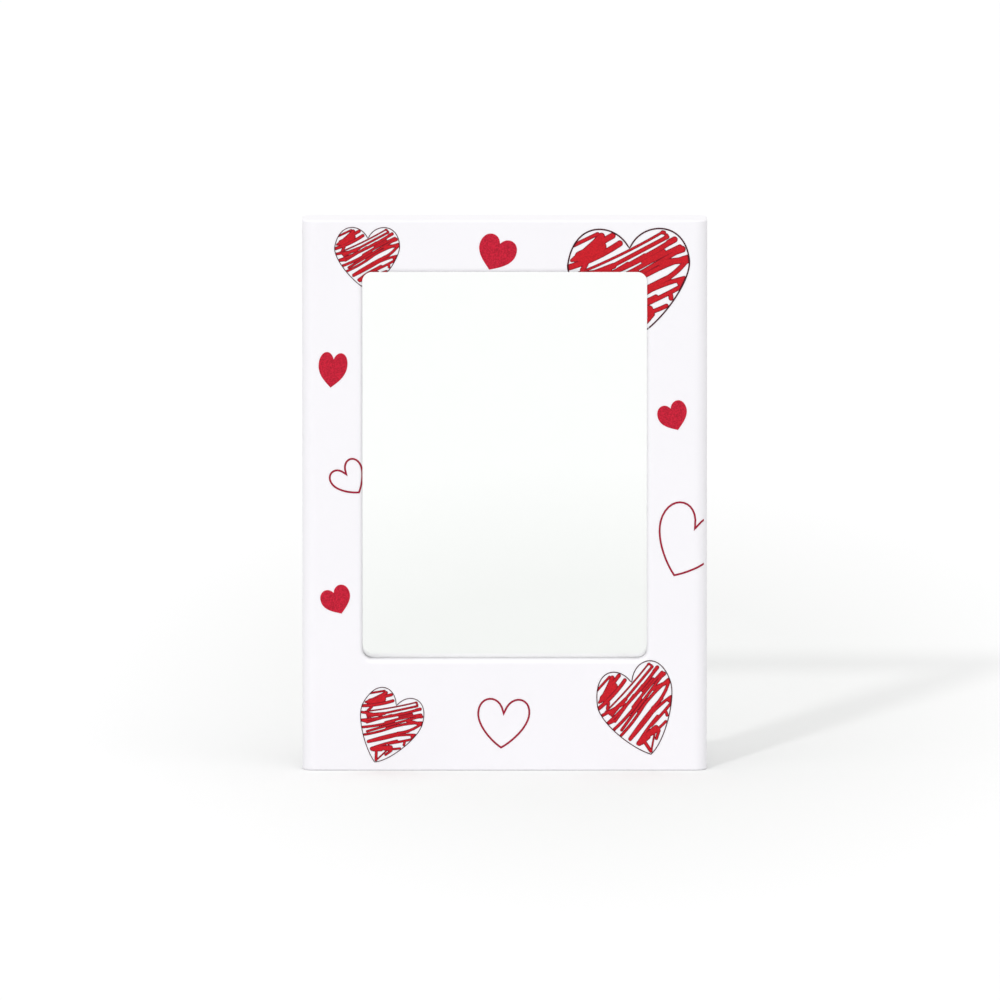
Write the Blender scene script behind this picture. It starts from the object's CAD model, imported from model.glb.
"""Looks of a magnetic photo frame: white mouldings, clear panes, disc magnets and printed hearts.

It is laid out as a Blender add-on and run as a script. Everything is in metres, with +Z up and
the front facing -Y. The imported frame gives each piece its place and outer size, apart from the
scribbled hearts and the stage, which have values of their own.
"""
import math
from collections import namedtuple

import bpy
import numpy as np
from bpy.props import FloatProperty, FloatVectorProperty, PointerProperty
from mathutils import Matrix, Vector


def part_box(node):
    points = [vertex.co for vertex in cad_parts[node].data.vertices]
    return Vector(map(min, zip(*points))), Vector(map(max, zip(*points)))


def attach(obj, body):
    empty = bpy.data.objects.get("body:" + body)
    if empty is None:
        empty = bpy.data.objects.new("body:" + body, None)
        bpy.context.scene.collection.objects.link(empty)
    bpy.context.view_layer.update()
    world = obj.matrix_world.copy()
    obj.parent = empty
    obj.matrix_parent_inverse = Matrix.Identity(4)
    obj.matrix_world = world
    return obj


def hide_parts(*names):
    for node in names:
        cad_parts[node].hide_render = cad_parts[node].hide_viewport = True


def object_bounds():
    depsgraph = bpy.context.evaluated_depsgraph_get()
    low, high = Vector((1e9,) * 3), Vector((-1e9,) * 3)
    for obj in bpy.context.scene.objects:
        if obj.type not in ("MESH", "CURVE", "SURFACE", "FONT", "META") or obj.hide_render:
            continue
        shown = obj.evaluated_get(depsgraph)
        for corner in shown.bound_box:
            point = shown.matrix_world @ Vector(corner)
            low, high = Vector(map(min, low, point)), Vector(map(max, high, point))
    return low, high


bl_info = {
    "name": "Magnetic photo frame",
    "version": (1, 0, 0),
    "blender": (4, 5, 0),
    "location": "3D View > Sidebar > Photo frame",
    "description": "Dresses a two-part magnetic photo frame and sets it in a plain studio",
    "category": "Object",
}

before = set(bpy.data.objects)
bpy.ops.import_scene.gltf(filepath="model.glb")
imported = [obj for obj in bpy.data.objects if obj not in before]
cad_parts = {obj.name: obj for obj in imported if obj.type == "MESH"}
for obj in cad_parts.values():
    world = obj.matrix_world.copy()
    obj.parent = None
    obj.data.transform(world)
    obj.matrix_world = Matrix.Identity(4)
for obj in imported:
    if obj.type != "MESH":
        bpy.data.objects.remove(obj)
CAD_LOW, CAD_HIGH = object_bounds()

MM = 0.001

# The nodes by kind. New pieces replace the panes and magnets, so each has its body beside it
HALVES = ("front_frame", "rear_frame")
PANES = {"front_window": "front_half", "rear_window": "rear_half"}
CORNERS = ("upper_left", "upper_right", "lower_left", "lower_right")
MAGNETS = {
    f"{side}_magnet_{corner}": f"{side}_half" for side in ("front", "rear") for corner in CORNERS
}
SOLID_HEARTS = ("heart_top", "heart_left", "heart_lower_left", "heart_right")
OUTLINED_HEARTS = ("heart_left_outline", "heart_right_outline", "heart_bottom")


# Settings that a user would change

class MouldingSettings(bpy.types.PropertyGroup):
    """The white plastic of the two halves."""

    white: FloatVectorProperty(
        name="White", description="Colour of the moulded plastic", subtype="COLOR",
        size=3, min=0, max=1, default=(0.928, 0.914, 0.942))
    roughness: FloatProperty(
        name="Roughness", description="How much the satin surface scatters reflections",
        subtype="FACTOR", min=0, max=1, default=0.42)
    grain: FloatProperty(
        name="Grain", description="Distance between the finest marks of the mould",
        subtype="DISTANCE", unit="LENGTH", default=0.35 * MM)


class PaneSettings(bpy.types.PropertyGroup):
    """The clear sheet of the two panes."""

    tint: FloatVectorProperty(
        name="Tint", description="Colour of light that has passed through a pane",
        subtype="COLOR", size=3, min=0, max=1, default=(0.985, 0.992, 0.985))
    edge: FloatProperty(
        name="Edge", description="Radius of a pane's eased edges",
        subtype="DISTANCE", unit="LENGTH", default=0.12 * MM)
    corner: FloatProperty(
        name="Corner", description="Radius of a pane's corners",
        subtype="DISTANCE", unit="LENGTH", default=0.8 * MM)


class MagnetSettings(bpy.types.PropertyGroup):
    """The nickel-plated discs in the side rails."""

    nickel: FloatVectorProperty(
        name="Nickel", description="Colour of the plating", subtype="COLOR",
        size=3, min=0, max=1, default=(0.66, 0.64, 0.6))
    edge: FloatProperty(
        name="Edge", description="Radius of a disc's plated edge",
        subtype="DISTANCE", unit="LENGTH", default=0.25 * MM)


class InkSettings(bpy.types.PropertyGroup):
    """The inks of the printed hearts."""

    red: FloatVectorProperty(
        name="Red", description="Ink of the pen strokes, away from their edges", subtype="COLOR",
        size=3, min=0, max=1, default=(0.57, 0.012, 0.021))
    stroke_edge: FloatVectorProperty(
        name="Stroke edge", description="Ink along the edges of the pen strokes",
        subtype="COLOR", size=3, min=0, max=1, default=(0.12, 0.003, 0.012))
    crimson: FloatVectorProperty(
        name="Crimson", description="Ink of the solid hearts", subtype="COLOR",
        size=3, min=0, max=1, default=(0.525, 0.013, 0.036))
    line: FloatVectorProperty(
        name="Line", description="Ink of the outlined hearts", subtype="COLOR",
        size=3, min=0, max=1, default=(0.33, 0.012, 0.036))
    contour: FloatVectorProperty(
        name="Contour", description="Ink round the scribbled hearts", subtype="COLOR",
        size=3, min=0, max=1, default=(0.06, 0.008, 0.015))
    edge_reach: FloatProperty(
        name="Edge reach", description="How far in the edge colour of a stroke fades",
        subtype="DISTANCE", unit="LENGTH", default=0.17 * MM)
    dot: FloatProperty(
        name="Dot", description="Distance between the print's dots",
        subtype="DISTANCE", unit="LENGTH", default=0.22 * MM)
    pitch: FloatProperty(
        name="Pitch", description="Distance between the points of a scribbled heart's sheet",
        subtype="DISTANCE", unit="LENGTH", default=0.08 * MM)
    contour_share: FloatProperty(
        name="Contour share", description="Width of a contour, as a share of its heart's width",
        default=0.0115)


class StageSettings(bpy.types.PropertyGroup):
    """The studio: camera, lamps and floor."""

    distance: FloatProperty(
        name="Distance", description="From the camera to the front of the frame",
        subtype="DISTANCE", unit="LENGTH", default=4.0)
    pitch: FloatProperty(
        name="Pitch", description="How far the camera looks down", subtype="ANGLE",
        unit="ROTATION", default=math.radians(7))
    yaw: FloatProperty(
        name="Yaw", description="How far the camera stands to the right", subtype="ANGLE",
        unit="ROTATION", default=0.0)
    pixels_per_mm: FloatProperty(
        name="Pixels per millimetre", description="Scale of the picture at the frame's face",
        default=6.19)
    key: FloatProperty(
        name="Key", description="Irradiance of the lamp at the upper left", default=0.62)
    key_angle: FloatProperty(
        name="Key angle", description="How wide the lamp at the upper left looks",
        subtype="ANGLE", unit="ROTATION", default=math.radians(5))
    sky: FloatProperty(
        name="Sky", description="Brightness of the soft light straight above", default=1.243)
    front: FloatProperty(
        name="Front", description="Brightness of the soft light level with the front",
        default=0.565)
    paper: FloatVectorProperty(
        name="Paper", description="Colour of the floor as the camera sees it", subtype="COLOR",
        size=3, min=0, max=1, default=(0.97, 0.97, 0.97))
    paper_near: FloatVectorProperty(
        name="Paper near", description="Colour of the floor round the frame", subtype="COLOR",
        size=3, min=0, max=1, default=(0.885, 0.89, 0.883))
    bounce: FloatVectorProperty(
        name="Bounce", description="Colour of the light that the floor throws on the frame",
        subtype="COLOR", size=3, min=0, max=1, default=(0.8, 0.805, 0.81))


# Materials

def new_material(name):
    """An empty node material with its output, and its node tree."""
    material = bpy.data.materials.new(name)
    material.use_nodes = True
    tree = material.node_tree
    tree.nodes.clear()
    tree.nodes.new("ShaderNodeOutputMaterial")
    return material, tree


def add(tree, kind, inputs=(), **settings):
    """A node of a kind, with its input sockets set by name and its own settings."""
    node = tree.nodes.new(kind)
    for name, value in settings.items():
        setattr(node, name, value)
    for name, value in dict(inputs).items():
        node.inputs[name].default_value = value
    return node


def join(tree, source, target):
    """Links a node's output to another's input."""
    tree.links.new(source, target)


def show(tree, socket):
    """Makes a shader the material's surface."""
    output = next(node for node in tree.nodes if node.type == "OUTPUT_MATERIAL")
    join(tree, socket, output.inputs["Surface"])


def noise(tree, pitch, detail=2.0):
    """Noise in the object's own place, with about the given distance between its marks."""
    place = add(tree, "ShaderNodeTexCoord")
    texture = add(tree, "ShaderNodeTexNoise", {"Scale": 1 / pitch, "Detail": detail})
    join(tree, place.outputs["Object"], texture.inputs["Vector"])
    return texture.outputs["Fac"]


# Noise lies mostly between these two values, so tones and gloss change over that reach
NOISE_REACH = (0.3, 0.7)


def between(tree, factor, low, high, reach=NOISE_REACH):
    """A number that goes from low to high as a factor goes over its reach."""
    limits = {"From Min": reach[0], "From Max": reach[1], "To Min": low, "To Max": high}
    node = add(tree, "ShaderNodeMapRange", limits)
    join(tree, factor, node.inputs["Value"])
    return node.outputs["Result"]


def blend_colours(tree, factor, first, second):
    """A colour that goes from the first to the second as a factor goes over noise's reach."""
    ramp = add(tree, "ShaderNodeValToRGB")
    for element, place, colour in zip(ramp.color_ramp.elements, NOISE_REACH, (first, second)):
        element.position = place
        element.color = (*colour, 1)
    join(tree, factor, ramp.inputs["Fac"])
    return ramp.outputs["Color"]


def relief(tree, height, distance, strength):
    """A bump's normal from a height."""
    bump = add(tree, "ShaderNodeBump", {"Strength": strength, "Distance": distance})
    join(tree, height, bump.inputs["Height"])
    return bump.outputs["Normal"]


def toned(tree, factor, colour, shares):
    """A colour that goes from one share of itself to another, both kept within white, as a
    factor goes over noise's reach."""
    first, second = ([min(1.0, channel * share) for channel in colour] for share in shares)
    return blend_colours(tree, factor, first, second)


def reckoned(tree, operation, first, second):
    """A number worked out from two others."""
    node = add(tree, "ShaderNodeMath", operation=operation)
    join(tree, first, node.inputs[0])
    join(tree, second, node.inputs[1])
    return node.outputs["Value"]


def mixed(tree, factor, first, second):
    """A shader that goes from the first to the second as a factor goes from 0 to 1."""
    mix = add(tree, "ShaderNodeMixShader")
    join(tree, factor, mix.inputs[0])
    join(tree, first, mix.inputs[1])
    join(tree, second, mix.inputs[2])
    return mix.outputs["Shader"]


# The plastic's index of refraction, the distance between its drifts of tone and the shares of
# its white that they reach, how far its roughness strays either way, and the height and
# strength of its grain
PLASTIC_IOR = 1.5
DRIFT_PITCH, DRIFT_SHARES = 18 * MM, (0.99, 1.005)
GLOSS_SPREAD = 0.05
GRAIN_RELIEF = (0.012 * MM, 0.25)


def white_plastic(settings):
    """Satin white moulded plastic: faint drifts of tone, a fine mould grain and uneven gloss."""
    material, tree = new_material("white_plastic")
    plastic = add(tree, "ShaderNodeBsdfPrincipled", {"IOR": PLASTIC_IOR})
    drift = noise(tree, DRIFT_PITCH)
    join(tree, toned(tree, drift, settings.white, DRIFT_SHARES), plastic.inputs["Base Color"])
    grain = noise(tree, settings.grain, detail=4.0)
    smoothest, roughest = settings.roughness - GLOSS_SPREAD, settings.roughness + GLOSS_SPREAD
    join(tree, between(tree, grain, smoothest, roughest), plastic.inputs["Roughness"])
    join(tree, relief(tree, grain, *GRAIN_RELIEF), plastic.inputs["Normal"])
    show(tree, plastic.outputs["BSDF"])
    return material


PANE_IOR = 1.49


def clear_sheet(settings):
    """Clear polished sheet. Rays that gather light for a matt surface, or that look for a lamp,
    pass straight through it."""
    material, tree = new_material("clear_sheet")
    sheet = add(tree, "ShaderNodeBsdfPrincipled", {
        "Base Color": (*settings.tint, 1),
        "Roughness": 0.0,
        "IOR": PANE_IOR,
        "Transmission Weight": 1.0,
    })
    open_way = add(tree, "ShaderNodeBsdfTransparent")
    rays = add(tree, "ShaderNodeLightPath").outputs
    straight = reckoned(tree, "MAXIMUM", rays["Is Shadow Ray"], rays["Is Diffuse Ray"])
    show(tree, mixed(tree, straight, sheet.outputs["BSDF"], open_way.outputs["BSDF"]))
    return material


# The handling marks on the nickel: the distance between them, the shares of its colour and the
# roughness that they reach, and their height and strength
MARK_PITCH, MARK_SHARES = 0.5 * MM, (0.94, 1.05)
MARK_ROUGHNESS = (0.16, 0.3)
MARK_RELIEF = (0.01 * MM, 0.2)


def nickel_plating(settings):
    """Bright nickel with faint handling marks."""
    material, tree = new_material("plated_magnet")
    plating = add(tree, "ShaderNodeBsdfPrincipled", {"Metallic": 1.0})
    marks = noise(tree, MARK_PITCH, detail=5.0)
    join(tree, toned(tree, marks, settings.nickel, MARK_SHARES), plating.inputs["Base Color"])
    join(tree, between(tree, marks, *MARK_ROUGHNESS), plating.inputs["Roughness"])
    join(tree, relief(tree, marks, *MARK_RELIEF), plating.inputs["Normal"])
    show(tree, plating.outputs["BSDF"])
    return material


# The ink's index of refraction and how much it reflects, the roughness that its dots reach, and
# their height and strength
INK_IOR, INK_REFLECTION = 1.48, 0.12
DOT_ROUGHNESS = (0.5, 0.62)
DOT_RELIEF = (0.01 * MM, 0.3)

# How far the dots take an ink's colour either way, in pen strokes, thin lines and solid hearts
PEN_CONTRAST, LINE_CONTRAST, SOLID_CONTRAST = 0.15, 0.2, 0.25


def printing_ink(name, colour, dot, contrast, edge=None, edge_reach=0.0):
    """Cured matt ink whose tone the print's dots vary. With an edge colour, the ink starts
    from it at a stroke's edge and reaches its own colour further in."""
    material, tree = new_material(name)
    ink = add(tree, "ShaderNodeBsdfPrincipled", {
        "IOR": INK_IOR,
        "Specular IOR Level": INK_REFLECTION,
    })
    dots = noise(tree, dot, detail=1.0)
    tone = toned(tree, dots, colour, (1 - contrast, 1 + contrast))
    if edge is not None:
        tone = edged(tree, tone, edge, edge_reach)
    join(tree, tone, ink.inputs["Base Color"])
    join(tree, between(tree, dots, *DOT_ROUGHNESS), ink.inputs["Roughness"])
    join(tree, relief(tree, dots, *DOT_RELIEF), ink.inputs["Normal"])
    show(tree, ink.outputs["BSDF"])
    return material


# A Mix node's sockets for colours, by number because its other kinds share their names
MIX_FACTOR, MIX_FIRST, MIX_SECOND, MIX_RESULT = 0, 6, 7, 2


def edged(tree, tone, edge, edge_reach):
    """A tone that starts from an edge colour where the piece's ink_depth is zero."""
    depth = add(tree, "ShaderNodeAttribute", attribute_name="ink_depth")
    inwards = between(tree, depth.outputs["Fac"], 0, 1, reach=(0, edge_reach))
    mix = add(tree, "ShaderNodeMix", data_type="RGBA")
    join(tree, inwards, mix.inputs[MIX_FACTOR])
    mix.inputs[MIX_FIRST].default_value = (*edge, 1)
    join(tree, tone, mix.inputs[MIX_SECOND])
    return mix.outputs[MIX_RESULT]


# Where the floor is greyest, right of the frame's middle and behind it, how far the grey
# reaches from there, and the number of reaches that its fade is measured over
GREY_MIDDLE = (15 * MM, 100 * MM, 0)
GREY_REACH = (115 * MM, 400 * MM, 1)
GREY_FADE = 1.1


def floor_paper(settings):
    """White paper, a little greyer round the frame. The camera, mirrors and glass see it
    whiter than the light that it throws on the frame."""
    material, tree = new_material("stage_paper")
    bounce = add(tree, "ShaderNodeBsdfDiffuse", {"Color": (*settings.bounce, 1)})
    paper = add(tree, "ShaderNodeBsdfDiffuse")
    place = add(tree, "ShaderNodeTexCoord")
    oval = add(tree, "ShaderNodeMapping", {"Location": GREY_MIDDLE, "Scale": GREY_REACH},
               vector_type="TEXTURE")
    join(tree, place.outputs["Object"], oval.inputs["Vector"])
    out = add(tree, "ShaderNodeVectorMath", operation="LENGTH")
    join(tree, oval.outputs["Vector"], out.inputs[0])
    away = between(tree, out.outputs["Value"], 0, 1, reach=(0, GREY_FADE))
    join(tree, blend_colours(tree, away, settings.paper_near, settings.paper),
         paper.inputs["Color"])
    show(tree, mixed(tree, seen_directly(tree), bounce.outputs["BSDF"], paper.outputs["BSDF"]))
    return material


def seen_directly(tree):
    """One for rays from the camera, from a mirror or through glass, and zero for the rest."""
    rays = add(tree, "ShaderNodeLightPath").outputs
    mirrored = reckoned(tree, "MAXIMUM", rays["Is Camera Ray"], rays["Is Glossy Ray"])
    return reckoned(tree, "MAXIMUM", mirrored, rays["Is Transmission Ray"])


# Surfaces

def ring_faces(rings, around):
    """Quads between successive closed rings of points. They face outwards where the rings run
    anticlockwise seen from the last one."""
    i, j = np.meshgrid(np.arange(rings - 1), np.arange(around), indexing="ij")
    here, there = i * around + j, i * around + (j + 1) % around
    return np.stack([here, there, there + around, here + around], -1).reshape(-1, 4)


def eased_edge(half_thickness, radius, steps=6):
    """The side of a sheet in section, as how far in from its edge and how far along its
    thickness: a quarter circle from the front face, the flat side, and a quarter circle to
    the back face."""
    turn = np.linspace(0, math.pi / 2, steps)
    inward = radius * (1 - np.sin(turn))
    depth = half_thickness - radius * (1 - np.cos(turn))
    return (np.concatenate([inward, inward[::-1]]), np.concatenate([-depth, depth[::-1]]))


def rounded_outline(width, height, radius, inset, steps=10):
    """A rectangle with round corners, drawn in by an inset: each corner's centre plus the
    radius less the inset, times the cosine and sine of its quarter turn."""
    quarter = np.linspace(0, math.pi / 2, steps)
    corners = []
    for k, (x, z) in enumerate(((1, 1), (-1, 1), (-1, -1), (1, -1))):
        turn = quarter + k * math.pi / 2
        corners.append(np.stack([
            x * (width / 2 - radius) + (radius - inset) * np.cos(turn),
            z * (height / 2 - radius) + (radius - inset) * np.sin(turn)], -1))
    return np.concatenate(corners)


def pane_surface(low, high, corner, edge):
    """A clear sheet: rounded outlines stacked through its thickness, each drawn in as the
    eased edge asks, with both faces closed by fans about their middles."""
    width, thickness, height = high - low
    middle = (low + high) / 2
    inward, depth = eased_edge(thickness / 2, edge)
    rings = []
    for inset, y in zip(inward, depth):
        outline = rounded_outline(width, height, corner, inset)
        rings.append(np.stack([outline[:, 0], np.full(len(outline), y), outline[:, 1]], -1))
    ends = [[0, -thickness / 2, 0], [0, thickness / 2, 0]]
    points = np.concatenate([*rings, ends]) + middle
    return points, closed_faces(len(rings), len(rings[0]))


def closed_faces(rings, around):
    """All the faces of a closed sheet, as a list: quads between its rings, which run
    anticlockwise seen from the front and follow one another backwards, and fans of triangles
    from the first and the last ring to the two points that come after the rings."""
    side = ring_faces(rings, around)[:, ::-1]
    j = np.arange(around)
    first_middle, last_middle = rings * around, rings * around + 1
    last = (rings - 1) * around
    front = np.stack([j, (j + 1) % around, np.full(around, first_middle)], -1)
    back = np.stack([last + (j + 1) % around, last + j, np.full(around, last_middle)], -1)
    return side.tolist() + front.tolist() + back.tolist()


def disc_surface(low, high, edge, around=64):
    """A disc magnet: circles stacked through its thickness, each drawn in as the eased edge
    asks, with both faces closed by fans about their middles."""
    width, thickness, _ = high - low
    middle = (low + high) / 2
    inward, depth = eased_edge(thickness / 2, edge)
    turn = np.arange(around) * 2 * math.pi / around
    radius = (width / 2 - inward)[:, None]
    rings = np.stack([
        radius * np.cos(turn), np.repeat(depth[:, None], around, 1), radius * np.sin(turn)], -1)
    ends = [[0, -thickness / 2, 0], [0, thickness / 2, 0]]
    points = np.concatenate([rings.reshape(-1, 3), ends]) + middle
    return points, closed_faces(len(inward), around)


def solid_mesh(name, points, faces, material, body):
    """A closed piece from points and faces. Its quads are shaded smooth, as its rounded side,
    and its triangles flat, as its two flat ends."""
    mesh = bpy.data.meshes.new(name)
    mesh.from_pydata(points.tolist(), [], faces)
    mesh.polygons.foreach_set("use_smooth", [len(face) == 4 for face in faces])
    mesh.materials.append(material)
    piece = in_scene(name, mesh)
    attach(piece, body)
    return piece


def in_scene(name, data):
    """A new object of the scene, at the origin."""
    item = bpy.data.objects.new(name, data)
    bpy.context.scene.collection.objects.link(item)
    return item


# The scribbled hearts

# A heart's tip across and up, its width and height, its lean to the right in degrees and the
# sideways share by which its lobes drift from its tip
HeartPlace = namedtuple("HeartPlace", "tip_x tip_z width height lean drift")
SCRIBBLE_PLACES = {
    "heart_top_left": HeartPlace(-22.24 * MM, 78.22 * MM, 10.92 * MM, 10.46 * MM, 0, 0.02),
    "heart_top_right": HeartPlace(20.40 * MM, 70.17 * MM, 20.47 * MM, 18.51 * MM, -1, 0),
    "heart_bottom_left": HeartPlace(-21.06 * MM, 1.34 * MM, 10.65 * MM, 12.32 * MM, 21, 0),
    "heart_bottom_right": HeartPlace(23.70 * MM, 2.59 * MM, 13.0 * MM, 15.17 * MM, -18, 0.06),
}

# The right and left halves of such a heart, each as two Bezier curves in shares of its width
# and height: from the notch over a lobe to the widest point, and from there down to the tip
RIGHT_HALF_SHARES = (
    ((0, 0.81), (0.09, 1.04), (0.44, 1.06), (0.475, 0.70)),
    ((0.475, 0.70), (0.50, 0.50), (0.205, 0.075), (0, 0)),
)
LEFT_HALF_SHARES = (
    ((0, 0.81), (0.10, 1.037), (0.44, 1.08), (0.495, 0.66)),
    ((0.495, 0.66), (0.50, 0.46), (0.20, 0.11), (0, 0)),
)

# Its pen strokes in the same shares: one end across and up, the other end across and up,
# width, and how far the middle bows upwards
STROKE_SHARES = (
    (-0.46, 0.825, -0.235, 0.940, 0.032, 0),
    (-0.467, 0.695, -0.24, 0.905, 0.030, -0.004),
    (-0.45, 0.700, -0.11, 0.928, 0.050, 0.006),
    (-0.43, 0.715, -0.185, 0.842, 0.090, 0),
    (-0.31, 0.810, -0.20, 0.935, 0.055, 0),
    (-0.51, 0.635, -0.055, 0.862, 0.050, -0.022),
    (-0.385, 0.600, -0.335, 0.685, 0.040, 0),
    (-0.42, 0.583, 0.262, 0.938, 0.022, -0.014),
    (0.245, 0.936, 0.290, 0.926, 0.034, 0.004),
    (0.288, 0.928, 0.290, 0.880, 0.034, 0.004),
    (-0.48, 0.558, -0.14, 0.616, 0.042, 0),
    (-0.36, 0.523, 0.315, 0.905, 0.034, 0),
    (-0.38, 0.547, -0.105, 0.660, 0.048, 0),
    (-0.45, 0.452, 0.14, 0.745, 0.042, -0.018),
    (-0.34, 0.450, 0, 0.675, 0.036, 0),
    (-0.43, 0.460, -0.31, 0.472, 0.045, 0),
    (-0.10, 0.610, 0.375, 0.887, 0.044, -0.012),
    (0.29, 0.833, 0.378, 0.885, 0.050, 0),
    (-0.41, 0.362, 0.07, 0.617, 0.041, -0.020),
    (-0.08, 0.537, 0.415, 0.817, 0.038, 0.008),
    (0.09, 0.672, 0.285, 0.780, 0.034, 0),
    (0.33, 0.757, 0.442, 0.795, 0.055, 0),
    (-0.29, 0.340, 0.38, 0.768, 0.038, 0.002),
    (0.22, 0.660, 0.487, 0.688, 0.052, 0.008),
    (-0.32, 0.285, 0.10, 0.548, 0.038, -0.016),
    (-0.03, 0.460, 0.48, 0.722, 0.042, 0.024),
    (-0.22, 0.220, 0.33, 0.552, 0.045, 0.012),
    (0.15, 0.465, 0.45, 0.690, 0.042, -0.030),
    (-0.22, 0.215, 0.22, 0.472, 0.040, -0.008),
    (0.10, 0.400, 0.445, 0.535, 0.038, 0.012),
    (0.42, 0.530, 0.385, 0.475, 0.075, 0),
    (-0.14, 0.145, 0.22, 0.382, 0.040, 0.010),
    (0.08, 0.290, 0.42, 0.470, 0.038, -0.004),
    (0.305, 0.415, 0.318, 0.335, 0.040, 0.008),
    (0.06, 0.205, 0.300, 0.300, 0.036, -0.006),
    (-0.135, 0.142, 0.18, 0.270, 0.070, 0.010),
    (0, 0.205, 0.19, 0.245, 0.050, -0.008),
    (-0.10, 0.142, 0.05, 0.195, 0.046, 0),
    (0.105, 0.135, 0.185, 0.235, 0.040, 0),
    (-0.04, 0.160, 0.015, 0.020, 0.045, 0),
    (0.01, 0.030, 0.112, 0.210, 0.024, 0),
)

# How far the panes reach past the opening, and the radii of its corners and of its front edge
PANE_LAP, OPENING_CORNER, OPENING_EDGE = 2 * MM, 1.6 * MM, 0.75 * MM


def bezier(corners, t):
    """Points of a cubic Bezier curve: its four corners weighted by the cubic terms of t."""
    a, b, c, d = (np.array(corner) for corner in corners)
    t = t[:, None]
    return (1 - t) ** 3 * a + 3 * (1 - t) ** 2 * t * b + 3 * (1 - t) * t ** 2 * c + t ** 3 * d


def sized(shares, place):
    """Places about a heart's tip from shares across and up: the share across plus the drift
    times the share up, times the width, and the share up times the height."""
    across, up = np.array(shares).T
    return np.stack([(across + place.drift * up) * place.width, up * place.height], -1)


def heart_outline(place, steps=40):
    """A scribbled heart's closed outline about its tip, from its notch down the right side and
    up the left: four Bezier curves, two of them mirrored, taken to the heart's size."""
    t = np.linspace(0, 1, steps)
    right, left = (
        np.concatenate([bezier(half[0], t), bezier(half[1], t)[1:]])
        for half in (RIGHT_HALF_SHARES, LEFT_HALF_SHARES))
    return sized(np.concatenate([right, (left * (-1, 1))[-2:0:-1]]), place)


def depth_inside(points, outline):
    """How deep points lie inside a closed outline, and below zero outside: the distance to the
    nearest of its edges, with the sign from how many edges lie to the right of the point."""
    nearest = np.full(len(points), np.inf)
    inside = np.zeros(len(points), bool)
    for start, end in zip(outline, np.roll(outline, -1, 0)):
        edge = end - start
        share = np.clip((points - start) @ edge / (edge @ edge), 0, 1)
        nearest = np.minimum(nearest, np.hypot(*(points - start - share[:, None] * edge).T))
        if edge[1] != 0:
            beside = start[0] + (points[:, 1] - start[1]) / edge[1] * edge[0]
            spans = (start[1] > points[:, 1]) != (end[1] > points[:, 1])
            inside ^= spans & (points[:, 0] < beside)
    return np.where(inside, nearest, -nearest)


def depth_in_strokes(points, place):
    """How deep points lie inside the nearest pen stroke: half its width less the distance to
    its middle line, a chord raised by its bow times 4 t (1 - t) and with round ends."""
    deepest = np.full(len(points), -np.inf)
    for left, low, right, high, thickness, bow in STROKE_SHARES:
        start = sized((left, low), place)
        along = sized((right, high), place) - start
        length = math.hypot(*along)
        across = np.array([-along[1], along[0]]) / length
        half = thickness * place.width / 2
        end = min(half / length, 0.5)
        t = np.clip((points - start) @ along / length ** 2, end, 1 - end)[:, None]
        middle = start + t * along + 4 * t * (1 - t) * bow * place.width * across
        deepest = np.maximum(deepest, half - np.hypot(*(points - middle).T))
    return deepest


def past_opening(points):
    """How far points of the front lie outside the opening, and below zero inside it: the
    distance to the rectangle between its corners' centres, less their radius."""
    low, high = (np.array(corner)[[0, 2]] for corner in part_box("front_window"))
    half = (high - low) / 2 - PANE_LAP - OPENING_CORNER
    past = np.abs(points - (low + high) / 2) - half
    outside = np.hypot(*np.maximum(past, 0).T)
    return outside + np.minimum(past.max(1), 0) - OPENING_CORNER


def film_thickness():
    """How thick the print is: its ink is foremost, and the moulding's face lies behind it."""
    low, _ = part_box("front_frame")
    return low[1] - CAD_LOW.y


def on_front(points):
    """Points across and up, laid on the ink's skin: its plane, and near the opening an arc
    about the centre of the rounded edge."""
    inwards = np.clip(OPENING_EDGE - past_opening(points), 0, OPENING_EDGE)
    radius = OPENING_EDGE + film_thickness()
    back = CAD_LOW.y + radius - np.sqrt(radius ** 2 - inwards ** 2)
    return np.stack([points[:, 0], back, points[:, 1]], -1)


def cut_sheet(points, faces, keep, carried):
    """The part of a sheet of triangles where keep is above zero. An edge that crosses zero is
    cut where the straight line between its two values does, and what is carried follows."""
    inked = keep[faces] > 0
    count = inked.sum(1)
    lone = turned(faces[count == 1], inked[count == 1].argmax(1))
    pair = turned(faces[count == 2], (~inked[count == 2]).argmax(1))
    edges = np.concatenate([lone[:, [0, 1]], lone[:, [0, 2]], pair[:, [0, 1]], pair[:, [0, 2]]])
    edges, place = np.unique(np.sort(edges, 1), axis=0, return_inverse=True)
    first, second = edges.T
    share = keep[first] / (keep[first] - keep[second])
    cut = points[first] + share[:, None] * (points[second] - points[first])
    cut_carried = carried[first] + share * (carried[second] - carried[first])
    place = place.ravel() + len(points)
    n, m = len(lone), len(pair)
    lone_a, lone_b, pair_a, pair_b = np.split(place, [n, 2 * n, 2 * n + m])
    kept = np.concatenate([
        faces[count == 3],
        np.stack([lone[:, 0], lone_a, lone_b], -1),
        np.stack([pair_a, pair[:, 1], pair[:, 2]], -1),
        np.stack([pair_a, pair[:, 2], pair_b], -1)])
    used, kept = np.unique(kept, return_inverse=True)
    everything = np.concatenate([points, cut])
    return everything[used], kept.reshape(-1, 3), np.concatenate([carried, cut_carried])[used]


def turned(faces, first):
    """Triangles turned round so that each starts at its given corner."""
    return np.take_along_axis(faces, (first[:, None] + np.arange(3)) % 3, 1)


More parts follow.
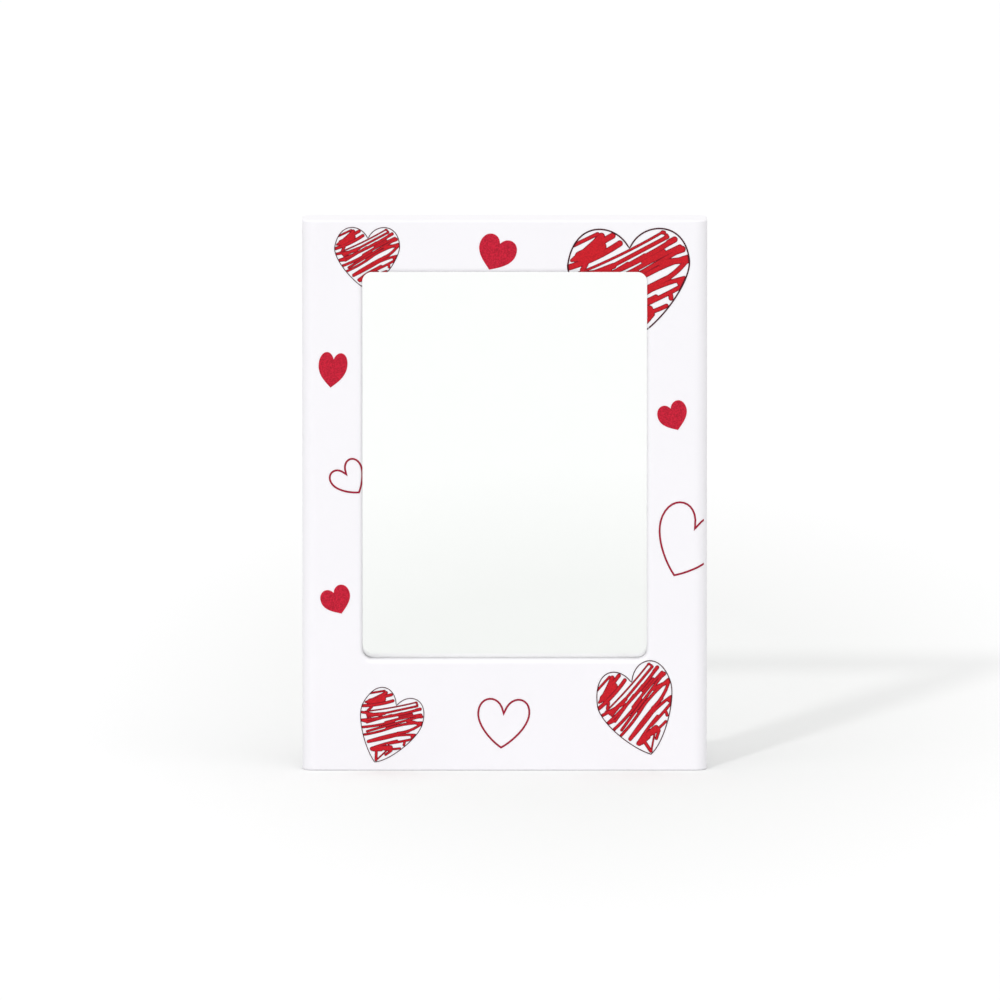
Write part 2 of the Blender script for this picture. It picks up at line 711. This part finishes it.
def grid_sheet(low, high, pitch):
    """A flat grid of points across and up from low to high, two triangles to a cell."""
    across, up = (np.arange(a, b + pitch, pitch) for a, b in zip(low, high))
    points = np.stack(np.meshgrid(across, up, indexing="ij"), -1).reshape(-1, 2)
    i, j = np.meshgrid(np.arange(len(across) - 1), np.arange(len(up) - 1), indexing="ij")
    here = (i * len(up) + j).ravel()
    right, above = here + len(up), here + 1
    faces = np.concatenate([
        np.stack([here, right, right + 1], -1), np.stack([here, right + 1, above], -1)])
    return points, faces


def leant(points, lean):
    """Points turned about zero, to the right by a lean in degrees."""
    turn = math.radians(lean)
    x, z = points.T
    return np.stack([
        x * math.cos(turn) + z * math.sin(turn), z * math.cos(turn) - x * math.sin(turn)], -1)


def heart_axes(points, place):
    """Points of the front seen from a heart's tip and turned upright by its lean."""
    return leant(points - (place.tip_x, place.tip_z), -place.lean)


def front_axes(points, place):
    """The way back from a heart's own axes to the front's."""
    return leant(points, place.lean) + (place.tip_x, place.tip_z)


def stroke_sheet(place, pitch, line):
    """The pen strokes of a heart: a grid over it, kept where it lies in a stroke, inside the
    contour and outside the opening. It carries how deep each point lies in the ink."""
    outline = heart_outline(place)
    on_face = front_axes(outline, place)
    points, faces = grid_sheet(on_face.min(0), on_face.max(0), pitch)
    own = heart_axes(points, place)
    within = depth_inside(own, outline) - line
    ink = np.minimum(depth_in_strokes(own, place), within)
    return cut_sheet(points, faces, np.minimum(ink, past_opening(points)), ink)


def contour_sheet(place, line):
    """The contour of a heart: its outline and the same drawn in by the line's width, joined by
    triangles, and kept outside the opening."""
    outline = heart_outline(place)
    along = np.roll(outline, -1, 0) - np.roll(outline, 1, 0)
    inwards = np.stack([along[:, 1], -along[:, 0]], -1) / np.hypot(*along.T)[:, None]
    rings = front_axes(np.concatenate([outline, outline + line * inwards]), place)
    quads = ring_faces(2, len(outline))
    faces = np.concatenate([quads[:, [0, 1, 2]], quads[:, [0, 2, 3]]])
    return cut_sheet(rings, faces, past_opening(rings), np.full(len(rings), line))


def ink_mesh(name, sheet, thickness, material, body):
    """A film of ink from a sheet of triangles: it lies on the front and faces forwards, and a
    Solidify gives it its thickness towards the moulding."""
    points, faces, ink_depth = sheet
    a, b, c = (points[faces[:, k]] for k in range(3))
    facing = (b - a)[:, 0] * (c - a)[:, 1] - (b - a)[:, 1] * (c - a)[:, 0]
    faces = np.where((facing > 0)[:, None], faces, faces[:, ::-1])
    mesh = bpy.data.meshes.new(name)
    mesh.from_pydata(on_front(points).tolist(), [], faces.tolist())
    depth = mesh.attributes.new("ink_depth", "FLOAT", "POINT")
    depth.data.foreach_set("value", ink_depth)
    mesh.materials.append(material)
    piece = in_scene(name, mesh)
    film = piece.modifiers.new("film", "SOLIDIFY")
    film.thickness = thickness
    film.offset = -1
    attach(piece, body)
    return piece


def dress(nodes, material):
    """Gives CAD nodes a material."""
    for name in nodes:
        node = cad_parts[name]
        node.data.materials.clear()
        node.data.materials.append(material)


# Operators

class PHOTOFRAME_OT_mouldings(bpy.types.Operator):
    """Give the two halves their white moulded plastic"""

    bl_idname = "photoframe.mouldings"
    bl_label = "White mouldings"

    def execute(self, context):
        dress(HALVES, white_plastic(context.scene.frame_mouldings))
        return {"FINISHED"}


class PHOTOFRAME_OT_panes(bpy.types.Operator):
    """Make the two clear panes"""

    bl_idname = "photoframe.panes"
    bl_label = "Clear panes"

    def execute(self, context):
        settings = context.scene.frame_panes
        material = clear_sheet(settings)
        for node, body in PANES.items():
            low, high = (np.array(corner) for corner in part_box(node))
            points, faces = pane_surface(low, high, settings.corner, settings.edge)
            piece = solid_mesh(f"{node}_pane", points, faces, material, body)
            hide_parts(node)
        return {"FINISHED"}


class PHOTOFRAME_OT_magnets(bpy.types.Operator):
    """Make the eight disc magnets"""

    bl_idname = "photoframe.magnets"
    bl_label = "Disc magnets"

    def execute(self, context):
        settings = context.scene.frame_magnets
        material = nickel_plating(settings)
        for node, body in MAGNETS.items():
            low, high = (np.array(corner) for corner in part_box(node))
            points, faces = disc_surface(low, high, settings.edge)
            piece = solid_mesh(f"{node}_disc", points, faces, material, body)
            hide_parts(node)
        return {"FINISHED"}


class PHOTOFRAME_OT_scribbles(bpy.types.Operator):
    """Make the pen strokes and the contours of the scribbled hearts"""

    bl_idname = "photoframe.scribbles"
    bl_label = "Scribbled hearts"

    def execute(self, context):
        inks = context.scene.frame_inks
        film = film_thickness()
        pen = printing_ink("red_ink", inks.red, inks.dot, PEN_CONTRAST, inks.stroke_edge,
                           inks.edge_reach)
        thin = printing_ink("contour_ink", inks.contour, inks.dot, LINE_CONTRAST)
        for node, place in SCRIBBLE_PLACES.items():
            line = inks.contour_share * place.width
            strokes = ink_mesh(f"{node}_strokes", stroke_sheet(place, inks.pitch, line), film,
                               pen, "front_half")
            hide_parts(node)
            contour = ink_mesh(f"{node}_line", contour_sheet(place, line), film,
                               thin, "front_half")
            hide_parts(f"{node}_contour")
        return {"FINISHED"}


class PHOTOFRAME_OT_hearts(bpy.types.Operator):
    """Give the solid and the outlined hearts their inks"""

    bl_idname = "photoframe.hearts"
    bl_label = "Solid and outlined hearts"

    def execute(self, context):
        inks = context.scene.frame_inks
        crimson = printing_ink("crimson_ink", inks.crimson, inks.dot, SOLID_CONTRAST)
        dress(SOLID_HEARTS, crimson)
        line = printing_ink("line_ink", inks.line, inks.dot, LINE_CONTRAST)
        dress(OUTLINED_HEARTS, line)
        return {"FINISHED"}


class PHOTOFRAME_OT_stage(bpy.types.Operator):
    """Set up the camera, the lamps and the floor"""

    bl_idname = "photoframe.stage"
    bl_label = "Studio stage"

    def execute(self, context):
        settings = context.scene.frame_stage
        place_camera(settings)
        lay_floor(settings)
        hang_key(settings)
        light_world(settings)
        return {"FINISHED"}


# The picture's middle on the frame's face, across and up, its width in pixels, and how many
# times its distance from the frame the camera sees
VIEW_MIDDLE = (-0.75 * MM, 44.1 * MM)
PICTURE_PIXELS = 1000
SIGHT_REACH = 10


def place_camera(settings):
    """A long lens at the photograph's angle: the lens is the sensor times the distance over
    the width that the picture shows there."""
    seen_width = PICTURE_PIXELS / settings.pixels_per_mm * MM
    data = bpy.data.cameras.new("photo_camera")
    data.lens = data.sensor_width * settings.distance / seen_width
    data.clip_end = settings.distance * SIGHT_REACH
    camera = in_scene("photo_camera", data)
    aim = Vector((VIEW_MIDDLE[0], CAD_LOW.y, VIEW_MIDDLE[1]))
    back = Vector((
        math.sin(settings.yaw) * math.cos(settings.pitch),
        -math.cos(settings.yaw) * math.cos(settings.pitch),
        math.sin(settings.pitch)))
    camera.location = aim + back * settings.distance
    camera.rotation_euler = (-back).to_track_quat("-Z", "Y").to_euler()
    bpy.context.scene.camera = camera


def lay_floor(settings, radius=6.0, around=96):
    """A wide round sheet of paper under the frame: one flat face whose corners are the radius
    times the cosine and sine of each turn."""
    turn = np.arange(around) * 2 * math.pi / around
    points = np.stack([radius * np.cos(turn), radius * np.sin(turn), np.zeros(around)], -1)
    mesh = bpy.data.meshes.new("stage_floor")
    mesh.from_pydata(points.tolist(), [], [list(range(around))])
    mesh.materials.append(floor_paper(settings))
    floor = in_scene("stage_floor", mesh)


# Where the key light's shadow of a point falls, for each unit of its height: right and back
SHADOW_RIGHT, SHADOW_BACK = 0.626, 1.54


def hang_key(settings):
    """A small distant lamp at the upper left in front, as the shadow on the floor shows."""
    data = bpy.data.lights.new("key", "SUN")
    data.energy = settings.key
    data.angle = settings.key_angle
    lamp = in_scene("key", data)
    heading = Vector((SHADOW_RIGHT, SHADOW_BACK, -1))
    lamp.rotation_euler = heading.to_track_quat("-Z", "Y").to_euler()


WHITE_LIGHT = (1, 1, 1, 1)


def light_world(settings):
    """Soft light: its strength is the sky's times a direction's Z plus the front's times its
    -Y, each where that is above zero. The camera, mirrors and glass see plain white instead."""
    world = bpy.data.worlds.new("studio")
    bpy.context.scene.world = world
    world.use_nodes = True
    tree = world.node_tree
    tree.nodes.clear()
    output = tree.nodes.new("ShaderNodeOutputWorld")
    heading = add(tree, "ShaderNodeTexCoord")
    parts = add(tree, "ShaderNodeSeparateXYZ")
    join(tree, heading.outputs["Generated"], parts.inputs["Vector"])
    above = between(tree, parts.outputs["Z"], 0, settings.sky, reach=(0, 1))
    ahead = between(tree, parts.outputs["Y"], settings.front, 0, reach=(-1, 0))
    soft = add(tree, "ShaderNodeBackground", {"Color": WHITE_LIGHT})
    join(tree, reckoned(tree, "ADD", above, ahead), soft.inputs["Strength"])
    plain = add(tree, "ShaderNodeBackground", {"Color": WHITE_LIGHT, "Strength": 1.0})
    light = mixed(tree, seen_directly(tree), soft.outputs["Background"],
                  plain.outputs["Background"])
    join(tree, light, output.inputs["Surface"])


STEPS = (
    PHOTOFRAME_OT_mouldings,
    PHOTOFRAME_OT_panes,
    PHOTOFRAME_OT_magnets,
    PHOTOFRAME_OT_scribbles,
    PHOTOFRAME_OT_hearts,
    PHOTOFRAME_OT_stage,
)


class PHOTOFRAME_PT_panel(bpy.types.Panel):
    """Lists the steps that dress the frame"""

    bl_idname = "PHOTOFRAME_PT_panel"
    bl_label = "Photo frame"
    bl_space_type = "VIEW_3D"
    bl_region_type = "UI"
    bl_category = "Photo frame"

    def draw(self, context):
        for step in STEPS:
            self.layout.operator(step.bl_idname)
        for name in SETTINGS:
            settings = getattr(context.scene, name)
            box = self.layout.box()
            for prop in settings.bl_rna.properties:
                if prop.identifier not in ("rna_type", "name"):
                    box.prop(settings, prop.identifier)


SETTINGS = {
    "frame_mouldings": MouldingSettings,
    "frame_panes": PaneSettings,
    "frame_magnets": MagnetSettings,
    "frame_inks": InkSettings,
    "frame_stage": StageSettings,
}


def register():
    """Registers the classes and gives each scene the settings."""
    for kind in (*SETTINGS.values(), *STEPS, PHOTOFRAME_PT_panel):
        bpy.utils.register_class(kind)
    for name, kind in SETTINGS.items():
        setattr(bpy.types.Scene, name, PointerProperty(type=kind))


def unregister():
    """Takes away what register gave."""
    for name in SETTINGS:
        delattr(bpy.types.Scene, name)
    for kind in reversed((*SETTINGS.values(), *STEPS, PHOTOFRAME_PT_panel)):
        bpy.utils.unregister_class(kind)


def main():
    register()
    bpy.context.scene.view_settings.view_transform = "Standard"
    bpy.ops.photoframe.mouldings()
    bpy.ops.photoframe.panes()
    bpy.ops.photoframe.magnets()
    bpy.ops.photoframe.scribbles()
    bpy.ops.photoframe.hearts()
    bpy.ops.photoframe.stage()


if __name__ == "__main__":
    main()
